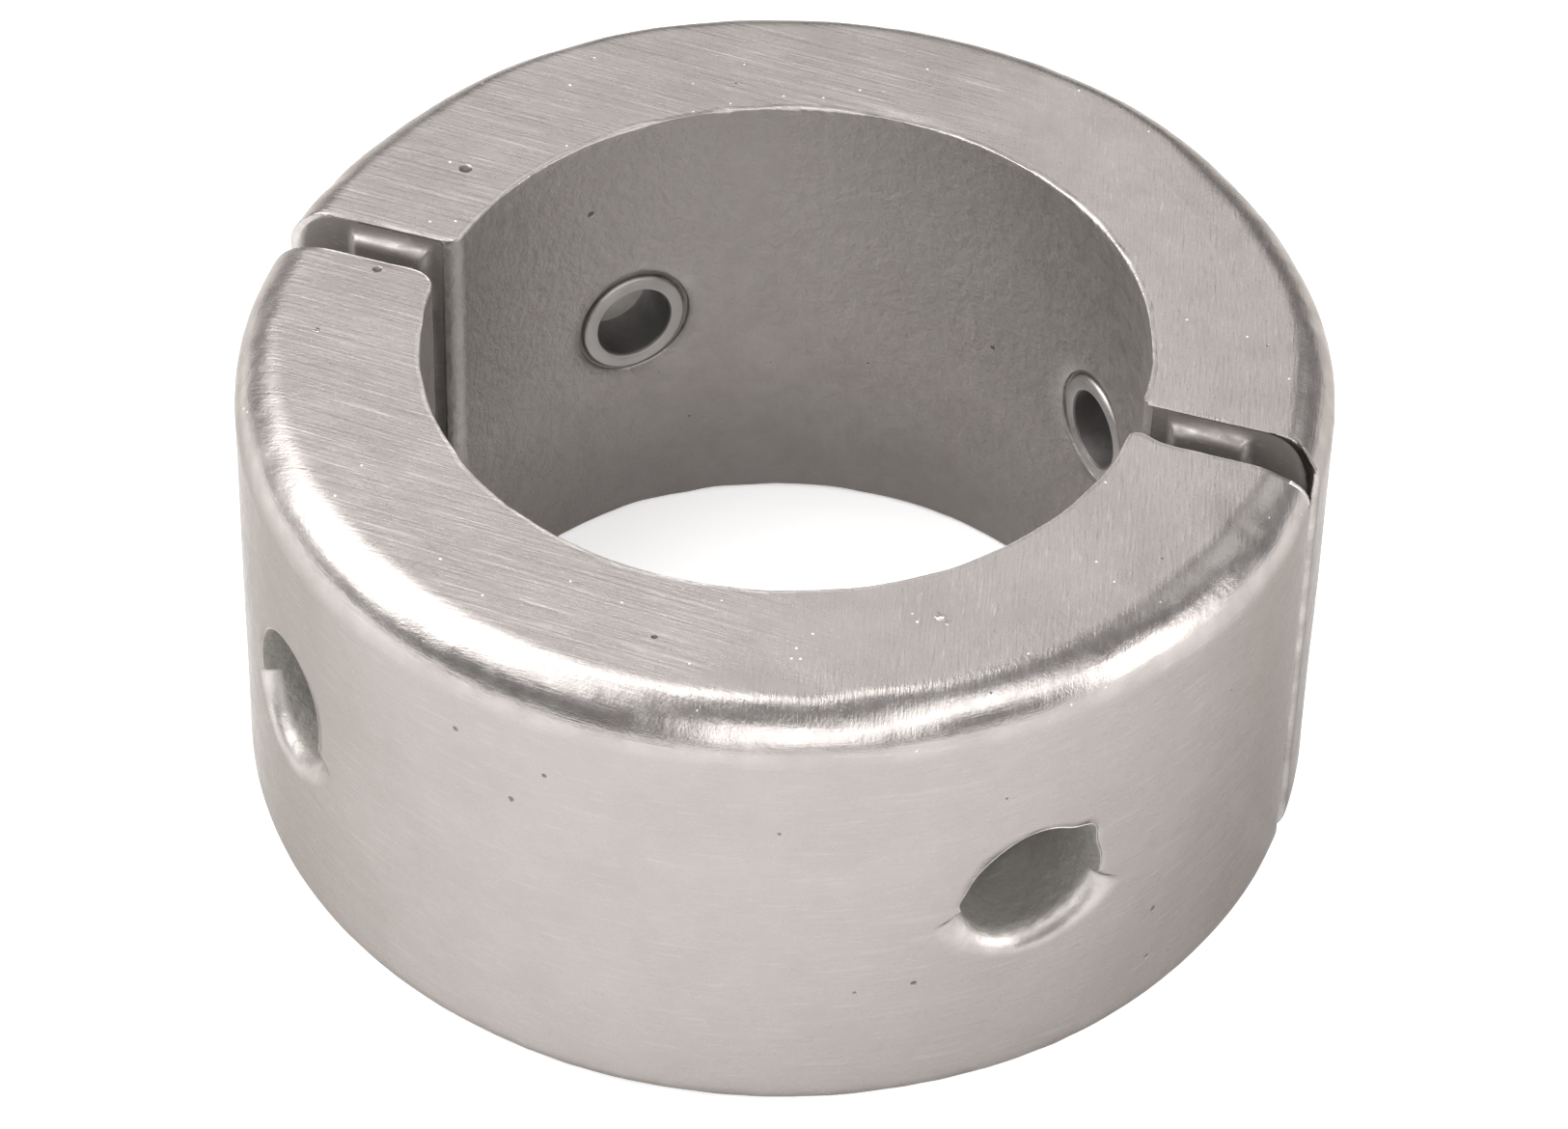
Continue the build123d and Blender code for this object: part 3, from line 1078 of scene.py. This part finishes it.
# The camera looks down at the collar from in front and to its right
CAMERA_TURN = math.radians(17.5)  # round from -Y towards +X
CAMERA_AWAY = 458.9 * MM
CAMERA_UP = 440.1 * MM
CAMERA_DIP = 0.7397  # radians down from level
CAMERA_ROLL = 0.0275
camera = bpy.data.objects.new("camera", bpy.data.cameras.new("camera"))
bpy.context.scene.collection.objects.link(camera)
camera.data.lens = 138.0
camera.data.sensor_width = 36.0
camera.data.clip_start = 0.01
ahead = Vector((-math.sin(CAMERA_TURN), math.cos(CAMERA_TURN), 0)) * math.cos(CAMERA_DIP)
ahead -= Vector((0, 0, math.sin(CAMERA_DIP)))
level = Vector((math.cos(CAMERA_TURN), math.sin(CAMERA_TURN), 0))
above = level.cross(ahead)
right = level * math.cos(CAMERA_ROLL) + above * math.sin(CAMERA_ROLL)
up = above * math.cos(CAMERA_ROLL) - level * math.sin(CAMERA_ROLL)
turn = Matrix((right, up, -ahead)).transposed().to_4x4()
place = Vector((math.sin(CAMERA_TURN) * CAMERA_AWAY, -math.cos(CAMERA_TURN) * CAMERA_AWAY, CAMERA_UP))
camera.matrix_world = Matrix.Translation(place) @ turn
bpy.context.scene.camera = camera


# The studio: square soft lights that face AIM, as (place in metres, size, power in watts)
AIM = Vector((0, 0, 0.02))
LIGHTS = {
    "top": ((-0.10, 0.10, 0.99), 0.4, 2.2),
    "left_high": ((-0.55, 0.0, 0.84), 0.8, 8.5),
    "left_mid": ((-0.78, -0.22, 0.58), 0.6, 4.4),
    "front_left": ((-0.40, -0.52, 0.75), 0.4, 1.6),
    "front": ((0.33, -0.84, 0.43), 0.6, 4.4),
    "front_right": ((0.62, -0.38, 0.69), 0.5, 2.6),
    "rear": ((-0.22, 0.70, 0.67), 0.6, 1.5),
    "rear_left": ((-0.66, 0.38, 0.64), 0.5, 0.7),
    "rear_right": ((0.49, 0.59, 0.64), 0.5, 0.8),
    "left_low": ((-0.93, -0.05, 0.36), 0.5, 0.8),
    "right_low": ((0.96, 0.0, 0.28), 0.5, 4.5),
}
for name, (place, size, power) in LIGHTS.items():
    data = bpy.data.lights.new(name, "AREA")
    data.size = size
    data.energy = power
    lamp = bpy.data.objects.new(name, data)
    bpy.context.scene.collection.objects.link(lamp)
    lamp.location = place
    lamp.rotation_euler = (AIM - Vector(place)).to_track_quat("-Z", "Y").to_euler()

world = bpy.data.worlds.new("studio")
bpy.context.scene.world = world
world.use_nodes = True
world.node_tree.nodes["Background"].inputs["Color"].default_value = (0.92, 0.92, 0.93, 1)
world.node_tree.nodes["Background"].inputs["Strength"].default_value = 0.55
bpy.context.scene.view_settings.view_transform = "Standard"
